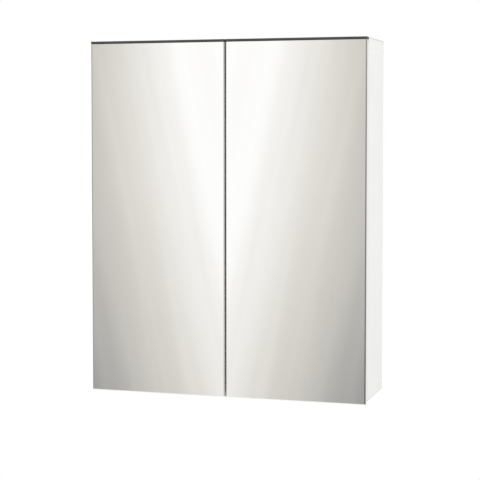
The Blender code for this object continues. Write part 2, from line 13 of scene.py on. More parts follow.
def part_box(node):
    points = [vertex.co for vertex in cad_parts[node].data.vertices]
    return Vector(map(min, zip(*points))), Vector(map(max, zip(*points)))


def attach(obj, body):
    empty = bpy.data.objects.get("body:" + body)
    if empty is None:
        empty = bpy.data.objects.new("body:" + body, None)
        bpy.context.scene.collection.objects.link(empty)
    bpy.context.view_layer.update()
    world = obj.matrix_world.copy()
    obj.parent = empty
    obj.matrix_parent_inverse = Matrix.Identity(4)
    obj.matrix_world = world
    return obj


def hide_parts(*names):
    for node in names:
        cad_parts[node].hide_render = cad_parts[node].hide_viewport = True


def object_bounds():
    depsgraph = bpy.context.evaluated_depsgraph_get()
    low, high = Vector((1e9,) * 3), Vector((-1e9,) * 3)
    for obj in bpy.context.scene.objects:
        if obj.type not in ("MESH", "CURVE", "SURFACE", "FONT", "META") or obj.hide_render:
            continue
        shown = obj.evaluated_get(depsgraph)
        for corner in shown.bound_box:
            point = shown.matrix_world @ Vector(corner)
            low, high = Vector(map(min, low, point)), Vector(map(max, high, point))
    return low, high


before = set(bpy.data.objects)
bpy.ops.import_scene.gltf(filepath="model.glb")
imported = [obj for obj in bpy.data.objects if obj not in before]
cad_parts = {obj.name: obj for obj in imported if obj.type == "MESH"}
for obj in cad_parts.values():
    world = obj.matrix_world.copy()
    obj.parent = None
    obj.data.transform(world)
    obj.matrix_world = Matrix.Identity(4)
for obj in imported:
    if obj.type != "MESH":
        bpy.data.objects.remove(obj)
cad_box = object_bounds()

MM = 0.001
SIDES = {"left": -1, "right": 1}
ENDS = ("upper", "lower")
CASE_BODY = "case"

# Camera and studio.
CAMERA_PLACE = Vector((0.871, -2.942, -0.136))
CAMERA_TURN = math.radians(16.85)
CAMERA_DIP = math.radians(2.78)
CAMERA_LENS = 104.3
CAMERA_SHIFT = -0.09
FLOOR_HEIGHT = -2.0
FLOOR_RADIUS = 3.0
FLOOR_FADE = 1.6
SOFT_LIGHT = 1.01
SOFT_LIGHT_LEAN = (0.09, 0.0, 0.17)

# The room in the mirrors: how bright it is, its darkest and brightest glow, how far the glow may rise
# or fall in a streak, the tones far to the sides and high up, and the glow that is warmest.
ROOM_STRENGTH = 1.075
GLOW_LIMITS = (0.36, 0.98)
GLOW_BLEND = 0.05
STREAK_GLOW = 0.018
SIDE_GLOW = 0.66
UPPER_GLOW = 0.93
WARMEST_GLOW = 0.62
WARM_TINTS = ((1.036, 0.992, 0.937), (1.025, 0.997, 0.923))

# The room's bright panels, as shares of their distance.
PANEL_SPACING = 0.314
PANEL_HALF = 0.106

# The curtains, left and right: where each begins along Y, how softly, and its tone. The right one
# grows lighter upward.
CURTAIN_STARTS = (0.30, -0.36)
CURTAIN_EDGES = (0.05, 0.12)
CURTAIN_TONES = (0.02, 0.22)
CURTAIN_RISE = 0.6

# Mirror glass.
GLASS_CORNER = 0.8 * MM
GLASS_ARRIS = 1.9 * MM
GLASS_REAR_ARRIS = 0.3 * MM
GLASS_TOP_ARRIS = 0.5 * MM

# How far up the foot of a door is foiled, a little past its finger bevel, and not left raw.
FOILED_FOOT = 11 * MM

# Screws: head radius, head height, height of its rim, shank radius, shank length.
SCREWS = {
    "cup": (3.4 * MM, 1.9 * MM, 0.5 * MM, 1.8 * MM, 9 * MM),
    "plate": (3.7 * MM, 2.1 * MM, 0.6 * MM, 2.0 * MM, 8 * MM),
    "arm": (3.9 * MM, 1.7 * MM, 0.8 * MM, 2.3 * MM, 3.5 * MM),
    "rail": (2.1 * MM, 0.5 * MM, 0.3 * MM, 1.4 * MM, 7 * MM),
}
CUP_SCREW_INWARD = 26 * MM
CUP_SCREW_HEIGHT = 24 * MM
WING_SCREW_HEIGHT = 16 * MM
WING_THICKNESS = 2 * MM
WING_SCREW_FORWARD = 2 * MM
ARM_SCREW_DEPTHS = (30 * MM, 47 * MM)
ARM_NOSE_OVER_WEB = 1.1 * MM
RAIL_SCREW_OFFSET = 20 * MM
RAIL_SCREW_SUNK = 0.6 * MM

# Cam covers on the inner faces of the top and bottom boards.
CAM_RADIUS = 8.8 * MM
CAM_THICKNESS = 0.9 * MM
CAM_ROUND = 0.35 * MM
CAM_DISH = 0.2 * MM
CAM_FROM_SIDE = 33.5 * MM
CAM_DEPTHS = (37 * MM, 115 * MM)


# Node helpers -------------------------------------------------------------------------------


def add(tree, kind, inputs=(), **settings):
    """A new node. Each input is given a constant, or a socket that is linked to it."""
    node = tree.nodes.new(kind)
    for key, value in settings.items():
        setattr(node, key, value)
    for key, value in dict(inputs).items():
        if isinstance(value, bpy.types.NodeSocket):
            tree.links.new(value, node.inputs[key])
        else:
            node.inputs[key].default_value = value
    return node


def maths(tree, operation, *values):
    return add(tree, "ShaderNodeMath", enumerate(values), operation=operation).outputs["Value"]


def noise(tree, where, scale, detail=2.0):
    inputs = {"Vector": where, "Scale": scale, "Detail": detail}
    return add(tree, "ShaderNodeTexNoise", inputs).outputs["Fac"]


def stretched(tree, where, factors):
    """A coordinate whose axes are scaled one by one."""
    node = add(tree, "ShaderNodeVectorMath", {0: where, 1: factors}, operation="MULTIPLY")
    return node.outputs["Vector"]


def ramp(tree, value, start, end, low=0.0, high=1.0):
    """Low where the value is at start, high at end, and a smooth step between them."""
    inputs = {"Value": value, "From Min": start, "From Max": end, "To Min": low, "To Max": high}
    node = add(tree, "ShaderNodeMapRange", inputs, interpolation_type="SMOOTHSTEP")
    return node.outputs["Result"]


def tint(tree, share, first, second):
    """A colour that goes from first to second as the share goes from 0 to 1."""
    colours = {0: share}
    for key, colour in ((6, first), (7, second)):
        colours[key] = colour if isinstance(colour, bpy.types.NodeSocket) else (*colour, 1.0)
    return add(tree, "ShaderNodeMix", colours, data_type="RGBA").outputs[2]


def blend(tree, share, first, second):
    """A number that goes from first to second as the share goes from 0 to 1."""
    return add(tree, "ShaderNodeMix", {0: share, 2: first, 3: second}).outputs[0]


def relief(tree, height, depth, strength=1.0):
    """The normal of a surface whose height runs over the given depth in metres."""
    inputs = {"Height": height, "Distance": depth, "Strength": strength}
    return add(tree, "ShaderNodeBump", inputs).outputs["Normal"]


def new_material(name):
    """A material with an empty node tree, and the coordinate that its patterns are drawn in."""
    material = bpy.data.materials.new(name)
    material.use_nodes = True
    tree = material.node_tree
    tree.nodes.clear()
    where = add(tree, "ShaderNodeTexCoord").outputs["Object"]
    return material, tree, where


def principled(tree, **inputs):
    """The surface shader and the material's output. Spaces in input names are written as underscores."""
    named = {key.replace("_", " "): value for key, value in inputs.items()}
    shader = add(tree, "ShaderNodeBsdfPrincipled", named)
    add(tree, "ShaderNodeOutputMaterial", {"Surface": shader.outputs["BSDF"]})


# Materials ----------------------------------------------------------------------------------


def face_distances(tree, where, low, high):
    """For each axis, how far a point lies from the nearer face of the box, and from its high face."""
    parts = add(tree, "ShaderNodeSeparateXYZ", {0: where}).outputs
    from_tops = [maths(tree, "SUBTRACT", top, part) for part, top in zip(parts, high)]
    from_bottoms = [maths(tree, "SUBTRACT", part, bottom) for part, bottom in zip(parts, low)]
    nearer = [maths(tree, "MINIMUM", first, second) for first, second in zip(from_tops, from_bottoms)]
    return nearer, from_tops


def chipboard(tree, where):
    """Pressed wood chips: the colour and the height of a raw, sawn edge."""
    along = stretched(tree, where, (1.0, 1.0, 0.6))
    cells = add(tree, "ShaderNodeTexVoronoi", {"Vector": along, "Scale": 900.0})
    chip = add(tree, "ShaderNodeSeparateColor", {0: cells.outputs["Color"]}).outputs[0]
    wood = tint(tree, chip, (0.52, 0.385, 0.245), (0.72, 0.575, 0.40))
    fleck = ramp(tree, noise(tree, where, 1500.0, 3.0), 0.60, 0.68)
    colour = tint(tree, fleck, wood, (0.24, 0.15, 0.08))
    return colour, maths(tree, "MULTIPLY", chip, 0.6)


def board_material(name, thin_axis, raw_rear=False, raw_edges=(), band_tone=0.4, foiled_foot=0.0):
    """White melamine on chipboard: a satin film with painted shade towards its edges, banded edges with
    their seam, and bare chips where it is cut, except below the given height."""
    material, tree, where = new_material(f"melamine_{name}")
    low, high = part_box(name)
    gaps, from_tops = face_distances(tree, where, low, high)
    inside = maths(tree, "MINIMUM", maths(tree, "MINIMUM", gaps[0], gaps[1]), gaps[2])
    marked = [gaps[0], from_tops[1], gaps[2]]
    to_edge = maths(tree, "MINIMUM", *[gap for axis, gap in enumerate(marked) if axis != thin_axis])
    on_face = ramp(tree, gaps[thin_axis], 0.3 * MM, 0.5 * MM, 1.0, 0.0)
    band = maths(tree, "MULTIPLY", on_face, ramp(tree, to_edge, 1.2 * MM, 1.4 * MM, 1.0, 0.0))

    cloud = ramp(tree, noise(tree, where, 9.0, 3.0), 0.35, 0.65)
    film = tint(tree, cloud, (0.860, 0.861, 0.857), (0.878, 0.878, 0.874))
    # Painted shade: the film turns grey towards every edge of the board, over its last 6 mm, for tonal
    # separation.
    painted_edge_shade = tint(tree, ramp(tree, to_edge, 0.0, 6 * MM, 0.6, 0.0), film, (0.775, 0.773, 0.766))
    skin = tint(tree, maths(tree, "MULTIPLY", band, band_tone), painted_edge_shade, (0.44, 0.44, 0.43))

    height = add(tree, "ShaderNodeSeparateXYZ", {0: where}).outputs[2]
    above_foot = ramp(tree, height, low[2] + foiled_foot, low[2] + foiled_foot + 0.1 * MM)
    bare = maths(tree, "MULTIPLY", ramp(tree, inside, 0.66 * MM, 0.70 * MM), above_foot)
    core = ramp(tree, gaps[thin_axis], 0.66 * MM, 0.70 * MM)
    sawn = [ramp(tree, gaps[axis], 0.02 * MM, 0.1 * MM, 1.0, 0.0) for axis in raw_edges]
    if raw_rear:
        sawn.append(ramp(tree, from_tops[1], 0.02 * MM, 0.1 * MM, 1.0, 0.0))
    for edge in sawn:
        bare = maths(tree, "MAXIMUM", bare, maths(tree, "MULTIPLY", edge, core))

    chips, chip_height = chipboard(tree, where)
    pearl = maths(tree, "MULTIPLY", noise(tree, where, 900.0, 2.0), 0.12)
    gloss = ramp(tree, noise(tree, where, 60.0, 4.0), 0.3, 0.7, 0.36, 0.46)
    principled(
        tree,
        Base_Color=tint(tree, bare, skin, chips),
        Roughness=blend(tree, bare, gloss, 0.85),
        Normal=relief(tree, blend(tree, bare, pearl, chip_height), 0.25 * MM, 0.5),
    )
    return material


def hardboard_material():
    """Thin fibreboard: a white lacquered front and a brown rear with the press screen's fine mesh in it."""
    material, tree, where = new_material("lacquered_hardboard")
    normal = add(tree, "ShaderNodeNewGeometry").outputs["Normal"]
    along_y = add(tree, "ShaderNodeSeparateXYZ", {0: normal}).outputs[1]
    brown_side = ramp(tree, along_y, -0.6, -0.4)
    fibres = noise(tree, stretched(tree, where, (1.0, 1.0, 0.5)), 1200.0, 5.0)
    patches = noise(tree, where, 14.0, 3.0)
    brown = tint(tree, ramp(tree, fibres, 0.3, 0.7), (0.235, 0.138, 0.07), (0.325, 0.207, 0.112))
    brown = tint(tree, ramp(tree, patches, 0.35, 0.65, 0.0, 0.35), brown, (0.27, 0.165, 0.09))
    white = tint(tree, ramp(tree, patches, 0.35, 0.65), (0.865, 0.866, 0.86), (0.89, 0.89, 0.886))
    mesh = add(tree, "ShaderNodeTexVoronoi", {"Vector": where, "Scale": 900.0}).outputs["Distance"]
    height = maths(tree, "MULTIPLY", mesh, brown_side)
    coarse = maths(tree, "MULTIPLY_ADD", fibres, 0.2, brown_side)
    principled(
        tree,
        Base_Color=tint(tree, brown_side, white, brown),
        Roughness=ramp(tree, coarse, 0.0, 1.2, 0.40, 0.86),
        Normal=relief(tree, height, 0.2 * MM, 0.45),
    )
    return material


def silvered_material():
    """The mirror's face: clean silver with a trace of uneven polish."""
    material, tree, where = new_material("silvered_glass")
    haze = noise(tree, where, 5.0, 3.0)
    principled(
        tree,
        Base_Color=tint(tree, ramp(tree, haze, 0.35, 0.65), (0.927, 0.928, 0.922), (0.937, 0.938, 0.932)),
        Metallic=1.0,
        Roughness=ramp(tree, noise(tree, where, 30.0, 3.0), 0.3, 0.7, 0.006, 0.016),
        Normal=relief(tree, haze, 0.01 * MM, 0.02),
    )
    return material


def arris_material():
    """The ground and polished arris round the mirror, with the silver seen through it."""
    material, tree, where = new_material("polished_arris")
    marks = noise(tree, where, 2600.0, 3.0)
    patches = noise(tree, where, 90.0, 2.0)
    principled(
        tree,
        Base_Color=tint(tree, ramp(tree, patches, 0.35, 0.65), (0.87, 0.89, 0.88), (0.91, 0.92, 0.915)),
        Metallic=1.0,
        Roughness=ramp(tree, marks, 0.3, 0.7, 0.03, 0.07),
        Normal=relief(tree, marks, 0.01 * MM, 0.2),
    )
    return material


def glass_edge_material():
    """The mirror's ground and polished edge: grey green, with fine wheel marks."""
    material, tree, where = new_material("ground_glass_edge")
    marks = noise(tree, where, 2200.0, 3.0)
    patches = ramp(tree, noise(tree, where, 120.0, 2.0), 0.35, 0.65)
    principled(
        tree,
        Base_Color=tint(tree, patches, (0.105, 0.120, 0.115), (0.155, 0.172, 0.166)),
        Roughness=ramp(tree, marks, 0.3, 0.7, 0.14, 0.30),
        Specular_IOR_Level=0.7,
        Normal=relief(tree, marks, 0.05 * MM, 0.3),
    )
    return material


def mirror_back_material():
    """The protective paint on the rear of the silver."""
    material, tree, where = new_material("mirror_back_paint")
    mottle = noise(tree, where, 260.0, 4.0)
    principled(
        tree,
        Base_Color=tint(tree, ramp(tree, mottle, 0.35, 0.65), (0.20, 0.25, 0.27), (0.26, 0.31, 0.33)),
        Roughness=ramp(tree, mottle, 0.3, 0.7, 0.5, 0.65),
        Normal=relief(tree, mottle, 0.1 * MM, 0.3),
    )
    return material


def adhesive_material():
    material, tree, where = new_material("mirror_adhesive")
    pores = noise(tree, where, 1300.0, 4.0)
    principled(
        tree,
        Base_Color=tint(tree, ramp(tree, pores, 0.35, 0.65), (0.66, 0.66, 0.64), (0.75, 0.75, 0.73)),
        Roughness=ramp(tree, pores, 0.3, 0.7, 0.7, 0.85),
        Normal=relief(tree, pores, 0.1 * MM, 0.5),
    )
    return material


def trim_material():
    """Dark anodised aluminium, brushed along its length."""
    material, tree, where = new_material("anodised_trim")
    strokes = noise(tree, stretched(tree, where, (0.02, 1.0, 1.0)), 3200.0, 3.0)
    patches = noise(tree, where, 35.0, 2.0)
    colour = tint(tree, ramp(tree, strokes, 0.3, 0.7), (0.068, 0.072, 0.073), (0.096, 0.101, 0.102))
    principled(
        tree,
        Base_Color=tint(tree, ramp(tree, patches, 0.35, 0.65, 0.0, 0.3), colour, (0.088, 0.092, 0.091)),
        Metallic=0.6,
        Roughness=ramp(tree, strokes, 0.3, 0.7, 0.34, 0.48),
        Normal=relief(tree, strokes, 0.03 * MM, 0.4),
    )
    return material


def shelf_glass_material():
    """Clear float glass: nearly colourless through its faces, green through its polished edges."""
    material, tree, where = new_material("float_glass")
    normal = add(tree, "ShaderNodeNewGeometry").outputs["Normal"]
    upward = maths(tree, "ABSOLUTE", add(tree, "ShaderNodeSeparateXYZ", {0: normal}).outputs[2])
    edge = ramp(tree, upward, 0.4, 0.8, 1.0, 0.0)
    streaks = noise(tree, stretched(tree, where, (0.1, 1.0, 1.0)), 500.0, 2.0)
    green = tint(tree, ramp(tree, streaks, 0.35, 0.65), (0.42, 0.74, 0.63), (0.52, 0.81, 0.71))
    polish = ramp(tree, noise(tree, where, 90.0, 3.0), 0.3, 0.7, 0.0, 0.02)
    principled(
        tree,
        Base_Color=tint(tree, edge, (0.955, 0.985, 0.972), green),
        Roughness=maths(tree, "ADD", polish, maths(tree, "MULTIPLY", edge, 0.06)),
        IOR=1.52,
        Transmission_Weight=ramp(tree, edge, 0.0, 1.0, 1.0, 0.4),
        Normal=relief(tree, maths(tree, "MULTIPLY", streaks, edge), 0.05 * MM, 0.2),
    )
    return material


def nickel_material():
    """Nickel plate on pressed steel: a warm grey shine, tumbled in fine short marks."""
    material, tree, where = new_material("nickel_plate")
    clouds = noise(tree, where, 110.0, 4.0)
    marks = noise(tree, stretched(tree, where, (1.0, 0.25, 1.0)), 4200.0, 3.0)
    dull = maths(tree, "MULTIPLY_ADD", marks, 0.5, clouds)
    principled(
        tree,
        Base_Color=tint(tree, ramp(tree, clouds, 0.32, 0.68), (0.60, 0.585, 0.555), (0.74, 0.73, 0.705)),
        Metallic=1.0,
        Roughness=ramp(tree, dull, 0.45, 1.05, 0.17, 0.36),
        Normal=relief(tree, marks, 0.02 * MM, 0.3),
    )
    return material


def zinc_material():
    """Bright zinc plate: small crystals that differ a little in tone and gloss."""
    material, tree, where = new_material("zinc_plate")
    crystals = add(tree, "ShaderNodeTexVoronoi", {"Vector": where, "Scale": 520.0}).outputs["Color"]
    tone = add(tree, "ShaderNodeSeparateColor", {0: crystals}).outputs[0]
    dull = noise(tree, where, 70.0, 4.0)
    colour = tint(tree, tone, (0.50, 0.53, 0.56), (0.66, 0.68, 0.70))
    principled(
        tree,
        Base_Color=tint(tree, ramp(tree, dull, 0.5, 0.72, 0.0, 0.5), colour, (0.46, 0.47, 0.47)),
        Metallic=1.0,
        Roughness=ramp(tree, maths(tree, "ADD", tone, dull), 0.4, 1.5, 0.26, 0.48),
        Normal=relief(tree, tone, 0.02 * MM, 0.25),
    )
    return material


def silicone_material():
    """Clear, soft, slightly cloudy silicone."""
    material, tree, where = new_material("clear_silicone")
    cloud = noise(tree, where, 500.0, 3.0)
    principled(
        tree,
        Base_Color=tint(tree, ramp(tree, cloud, 0.35, 0.65), (0.84, 0.87, 0.885), (0.91, 0.93, 0.935)),
        Roughness=ramp(tree, cloud, 0.3, 0.7, 0.24, 0.38),
        IOR=1.41,
        Transmission_Weight=0.6,
        Normal=relief(tree, cloud, 0.05 * MM, 0.3),
    )
    return material


def cap_material():
    """Moulded white plastic with a fine spark-eroded grain."""
    material, tree, where = new_material("moulded_cap")
    grain = noise(tree, where, 3800.0, 2.0)
    cloud = noise(tree, where, 150.0, 2.0)
    principled(
        tree,
        Base_Color=tint(tree, ramp(tree, cloud, 0.35, 0.65), (0.83, 0.83, 0.82), (0.87, 0.87, 0.862)),
        Roughness=ramp(tree, grain, 0.3, 0.7, 0.42, 0.55),
        Normal=relief(tree, grain, 0.04 * MM, 0.4),
    )
    return material


def floor_material():
    """A pale matt floor whose rim fades into the white backdrop, and into the room in a mirror."""
    material, tree, where = new_material("pale_floor")
    mottle = ramp(tree, noise(tree, where, 9.0, 3.0), 0.35, 0.65)
    inputs = {
        "Base Color": tint(tree, mottle, (0.845, 0.845, 0.842), (0.853, 0.853, 0.85)),
        "Roughness": ramp(tree, mottle, 0.0, 1.0, 0.7, 0.8),
    }
    matt = add(tree, "ShaderNodeBsdfPrincipled", inputs)
    white = add(tree, "ShaderNodeEmission", {"Color": (1.0, 1.0, 1.0, 1.0), "Strength": 1.0})
    clear = add(tree, "ShaderNodeBsdfTransparent")
    mirrored = add(tree, "ShaderNodeLightPath").outputs["Is Glossy Ray"]
    rim = add(tree, "ShaderNodeMixShader", {0: mirrored, 1: white.outputs[0], 2: clear.outputs[0]})
    reach = add(tree, "ShaderNodeVectorMath", {0: where}, operation="LENGTH").outputs["Value"]
    fade = ramp(tree, reach, FLOOR_FADE, FLOOR_RADIUS - 0.1)
    mixed = add(tree, "ShaderNodeMixShader", {0: fade, 1: matt.outputs[0], 2: rim.outputs[0]})
    add(tree, "ShaderNodeOutputMaterial", {"Surface": mixed.outputs[0]})
    return material


# Mesh helpers -------------------------------------------------------------------------------


def mesh_from(name, fill, materials, smooth_angle=30):
    """A mesh that the given function fills, its faces out and its round stretches shaded smooth."""
    mesh = bpy.data.meshes.new(name)
    shape = bmesh.new()
    fill(shape)
    bmesh.ops.recalc_face_normals(shape, faces=shape.faces)
    shape.to_mesh(mesh)
    shape.free()
    for material in materials:
        mesh.materials.append(material)
    mesh.shade_smooth()
    mesh.set_sharp_from_angle(angle=math.radians(smooth_angle))
    return mesh


def place_piece(name, mesh, body, matrix=None):
    """Puts a mesh in the scene as a piece that moves with a body."""
    piece = bpy.data.objects.new(name, mesh)
    bpy.context.scene.collection.objects.link(piece)
    if matrix is not None:
        piece.matrix_world = matrix
    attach(piece, body)
    return piece


def bridge(shape, near, far, material_index=0):
    """The band of faces between two rings that have the same number of points."""
    for index in range(len(near)):
        after = (index + 1) % len(near)
        face = shape.faces.new((near[index], near[after], far[after], far[index]))
        face.material_index = material_index


def turned(shape, profile, steps=40):
    """A closed solid turned about Z from (radius, height) points, whose first and last radius is 0."""
    angles = [2 * math.pi * step / steps for step in range(steps)]
    rings = []
    for radius, height in profile[1:-1]:
        points = [(radius * math.cos(a), radius * math.sin(a), height) for a in angles]
        rings.append([shape.verts.new(point) for point in points])
    for near, far in zip(rings, rings[1:]):
        bridge(shape, near, far)
    for ring, (_, height) in ((rings[0], profile[0]), (rings[-1], profile[-1])):
        pole = shape.verts.new((0.0, 0.0, height))
        for index in range(steps):
            shape.faces.new((ring[index], ring[(index + 1) % steps], pole))


def cut_mesh(mesh, fill_cutter):
    """Cuts the shape that a function fills from a mesh, and returns the new mesh."""
    body = bpy.data.objects.new("body", mesh)
    cutter = bpy.data.objects.new("cutter", mesh_from("cutter", fill_cutter, ()))
    for obj in (body, cutter):
        bpy.context.scene.collection.objects.link(obj)
    modifier = body.modifiers.new("cut", "BOOLEAN")
    modifier.operation = "DIFFERENCE"
    modifier.object = cutter
    modifier.solver = "EXACT"
    bpy.context.view_layer.update()
    result = bpy.data.meshes.new_from_object(body.evaluated_get(bpy.context.evaluated_depsgraph_get()))
    result.name = mesh.name
    for obj in (body, cutter):
        bpy.data.objects.remove(obj, do_unlink=True)
    result.shade_smooth()
    result.set_sharp_from_angle(angle=math.radians(30))
    return result


def clean_surface_group():
    """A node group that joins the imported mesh's loose triangles and drops their stored normals."""
    group = bpy.data.node_groups.new("clean_surface", "GeometryNodeTree")
    group.interface.new_socket("Geometry", in_out="INPUT", socket_type="NodeSocketGeometry")
    group.interface.new_socket("Geometry", in_out="OUTPUT", socket_type="NodeSocketGeometry")
    entry = add(group, "NodeGroupInput")
    merged = add(group, "GeometryNodeMergeByDistance", {0: entry.outputs[0], "Distance": 0.01 * MM})
    plain = add(group, "GeometryNodeRemoveAttribute", {0: merged.outputs[0], "Name": "custom_normal"})
    smooth = add(group, "GeometryNodeSetShadeSmooth", {0: plain.outputs[0]})
    add(group, "NodeGroupOutput", {0: smooth.outputs[0]})
    return group


def rejoin(obj, group):
    """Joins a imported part's loose triangles by modifiers, which leave its own mesh as it is."""
    obj.modifiers.new("clean", "NODES").node_group = group
    flat = obj.modifiers.new("flat_faces", "DECIMATE")
    flat.decimate_type = "DISSOLVE"
    flat.angle_limit = math.radians(0.5)


def soften(obj, group, width):
    """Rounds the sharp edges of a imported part."""
    rejoin(obj, group)
    arris = obj.modifiers.new("arris", "BEVEL")
    arris.width = width
    arris.segments = 2
    arris.limit_method = "ANGLE"
    arris.angle_limit = math.radians(35)
    obj.modifiers.new("normals", "WEIGHTED_NORMAL")


# Pieces -------------------------------------------------------------------------------------


def rounded_ring(shape, low, high, inset, top_inset, depth, steps=5):
    """A ring of points round a rectangle in the plane Y = depth, its corners rounded."""
    ring = []
    corner = GLASS_CORNER
    left, right = low[0] + inset + corner, high[0] - inset - corner
    bottom, top = low[2] + inset + corner, high[2] - top_inset - corner
    corners = ((right, top), (left, top), (left, bottom), (right, bottom))
    for quarter, (x, z) in enumerate(corners):
        for step in range(steps + 1):
            angle = math.radians(90 * (quarter + step / steps))
            point = (x + corner * math.cos(angle), depth, z + corner * math.sin(angle))
            ring.append(shape.verts.new(point))
    return ring


def mirror_glass(side, materials):
    """One door's mirror: a silvered face inside a polished arris, ground edges and a painted back."""
    node = f"{side}_door_mirror"
    low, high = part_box(node)
    front, rear = low[1], high[1]
    finishes = ("silver", "arris", "glass_edge", "mirror_back")

    def fill(shape):
        outline = (
            (GLASS_REAR_ARRIS, GLASS_REAR_ARRIS, rear),
            (0.0, 0.0, rear - GLASS_REAR_ARRIS),
            (0.0, 0.0, front + GLASS_ARRIS),
            (GLASS_ARRIS, GLASS_TOP_ARRIS, front),
        )
        rings = [rounded_ring(shape, low, high, *place) for place in outline]
        for near, far, finish in zip(rings, rings[1:], ("glass_edge", "glass_edge", "arris")):
            bridge(shape, near, far, finishes.index(finish))
        shape.faces.new(rings[0]).material_index = finishes.index("mirror_back")
        shape.faces.new(rings[-1]).material_index = finishes.index("silver")

    mesh = mesh_from(f"{side}_mirror_glass", fill, [materials[finish] for finish in finishes])
    piece = place_piece(f"{side}_mirror_glass", mesh, f"{side}_door")
    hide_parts(node)


def door_bumpers(side, materials):
    """Two clear stick-on domes that replace the plain ones on the back of a door."""
    for end in ENDS:
        node = f"{side}_{end}_bumper"
        low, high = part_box(node)
        radius = (high[0] - low[0]) / 2
        height = high[1] - low[1]

        def fill(shape):
            dome = [(radius * math.cos(a), height * (0.25 + 0.75 * math.sin(a)))
                    for a in (math.radians(angle) for angle in range(0, 90, 10))]
            turned(shape, [(0.0, 0.0), (radius * 0.98, 0.0), *dome, (0.0, height)])

        mesh = mesh_from(f"{side}_{end}_bumper_dome", fill, [materials["silicone"]])
        centre = (low + high) / 2
        matrix = facing((centre[0], low[1], centre[2]), (0, 1, 0))
        piece = place_piece(f"{side}_{end}_bumper_dome", mesh, f"{side}_door", matrix)
        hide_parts(node)


def screw_mesh(name, material):
    """A pan head with a cross recess on a short threaded shank. Its head rests on Z = 0 and faces +Z."""
    head, height, rim, shank, length = SCREWS[name]
    pitch = shank * 0.7
    turns = int(length / pitch)
    profile = [(0.0, -length), (shank * 0.35, -length + shank * 0.2)]
    for turn in range(turns):
        foot = -length + (turn + 0.6) * pitch
        profile += [(shank * 0.72, foot), (shank, foot + pitch * 0.35)]
    profile += [(shank * 0.8, -0.05 * MM), (head * 0.94, 0.0), (head, rim * 0.3), (head, rim)]
    for step in range(1, 7):
        angle = math.radians(90 * step / 7)
        profile.append((head * math.cos(angle), rim + (height - rim) * math.sin(angle)))
    profile.append((0.0, height))
    mesh = mesh_from(f"{name}_screw", lambda shape: turned(shape, profile), [material])

    def recess(shape):
        top, bottom = height + 0.2 * MM, height * 0.25
        rings = []
        for level, reach, half in ((top, head * 0.56, head * 0.13), (bottom, head * 0.30, head * 0.09)):
            ring = []
            for quarter in range(4):
                turn = Matrix.Rotation(math.radians(90 * quarter), 2)
                for point in ((half, -half), (reach, -half), (reach, half)):
                    x, y = turn @ Vector(point)
                    ring.append(shape.verts.new((x, y, level)))
            rings.append(ring)
        bridge(shape, *rings)
        for ring in rings:
            shape.faces.new(ring)

    return cut_mesh(mesh, recess)


def facing(place, direction, turn=0.0):
    """The matrix that puts a screw at a place with its head towards a direction."""
    aim = Vector(direction).to_track_quat("Z", "Y").to_matrix().to_4x4()
    return Matrix.Translation(place) @ aim @ Matrix.Rotation(turn, 4, "Z")


def cup_screws(side, end, mesh):
    """The two screws in the wings of a hinge cup."""
    low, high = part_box(f"{side}_{end}_hinge_cup")
    middle = (low[2] + high[2]) / 2
    inward = SIDES[side] * (cad_box[1][0] - CUP_SCREW_INWARD)
    for index, way in enumerate((-1, 1)):
        place = (inward, high[1], middle + way * CUP_SCREW_HEIGHT)
        matrix = facing(place, (0, 1, 0), math.radians(20 + 37 * index))
        place_piece(f"{side}_{end}_cup_screw_{index + 1}", mesh, f"{side}_door", matrix)


def plate_screws(side, end, mesh):
    """The two screws in the wings of a mounting plate."""
    sign = SIDES[side]
    low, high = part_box(f"{side}_{end}_mounting_plate")
    middle = (low + high) / 2
    face = (high[0] if sign > 0 else low[0]) - sign * WING_THICKNESS
    for index, way in enumerate((-1, 1)):
        place = (face, middle[1] - WING_SCREW_FORWARD, middle[2] + way * WING_SCREW_HEIGHT)
        matrix = facing(place, (-sign, 0, 0), math.radians(11 + 52 * index))
        name = f"{side}_{end}_plate_screw_{index + 1}"
        place_piece(name, mesh, CASE_BODY, matrix)


def arm_screws(side, end, mesh):
    """The fixing screw and the adjusting screw in the web of a hinge arm."""
    sign = SIDES[side]
    low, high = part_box(f"{side}_{end}_hinge_arm")
    middle = (low[2] + high[2]) / 2
    web = (low[0] if sign > 0 else high[0]) + sign * ARM_NOSE_OVER_WEB
    case_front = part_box(f"side_panel_{side}")[0][1]
    for index, depth in enumerate(ARM_SCREW_DEPTHS):
        place = (web, case_front + depth, middle)
        matrix = facing(place, (-sign, 0, 0), math.radians(31 + 29 * index))
        place_piece(f"{side}_{end}_arm_screw_{index + 1}", mesh, CASE_BODY, matrix)


def rail_screws(side, mesh):
    """The two small screws that hold a keyhole plate in the hanging rail."""
    low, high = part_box(f"hanging_plate_{side}")
    middle = (low + high) / 2
    for index, way in enumerate((-1, 1)):
        place = (middle[0] + way * RAIL_SCREW_OFFSET, high[1] - RAIL_SCREW_SUNK, middle[2])
        matrix = facing(place, (0, 1, 0), math.radians(15 + 44 * index))
        place_piece(f"{side}_rail_screw_{index + 1}", mesh, CASE_BODY, matrix)


def all_screws(materials):
    """For each hinge two screws in the cup, two in the plate and two in the arm, and the rail's."""
    finishes = {"cup": "nickel", "plate": "zinc", "arm": "nickel", "rail": "zinc"}
    meshes = {name: screw_mesh(name, materials[finish]) for name, finish in finishes.items()}
    for side in SIDES:
        for end in ENDS:
            cup_screws(side, end, meshes["cup"])
            plate_screws(side, end, meshes["plate"])
            arm_screws(side, end, meshes["arm"])
        rail_screws(side, meshes["rail"])


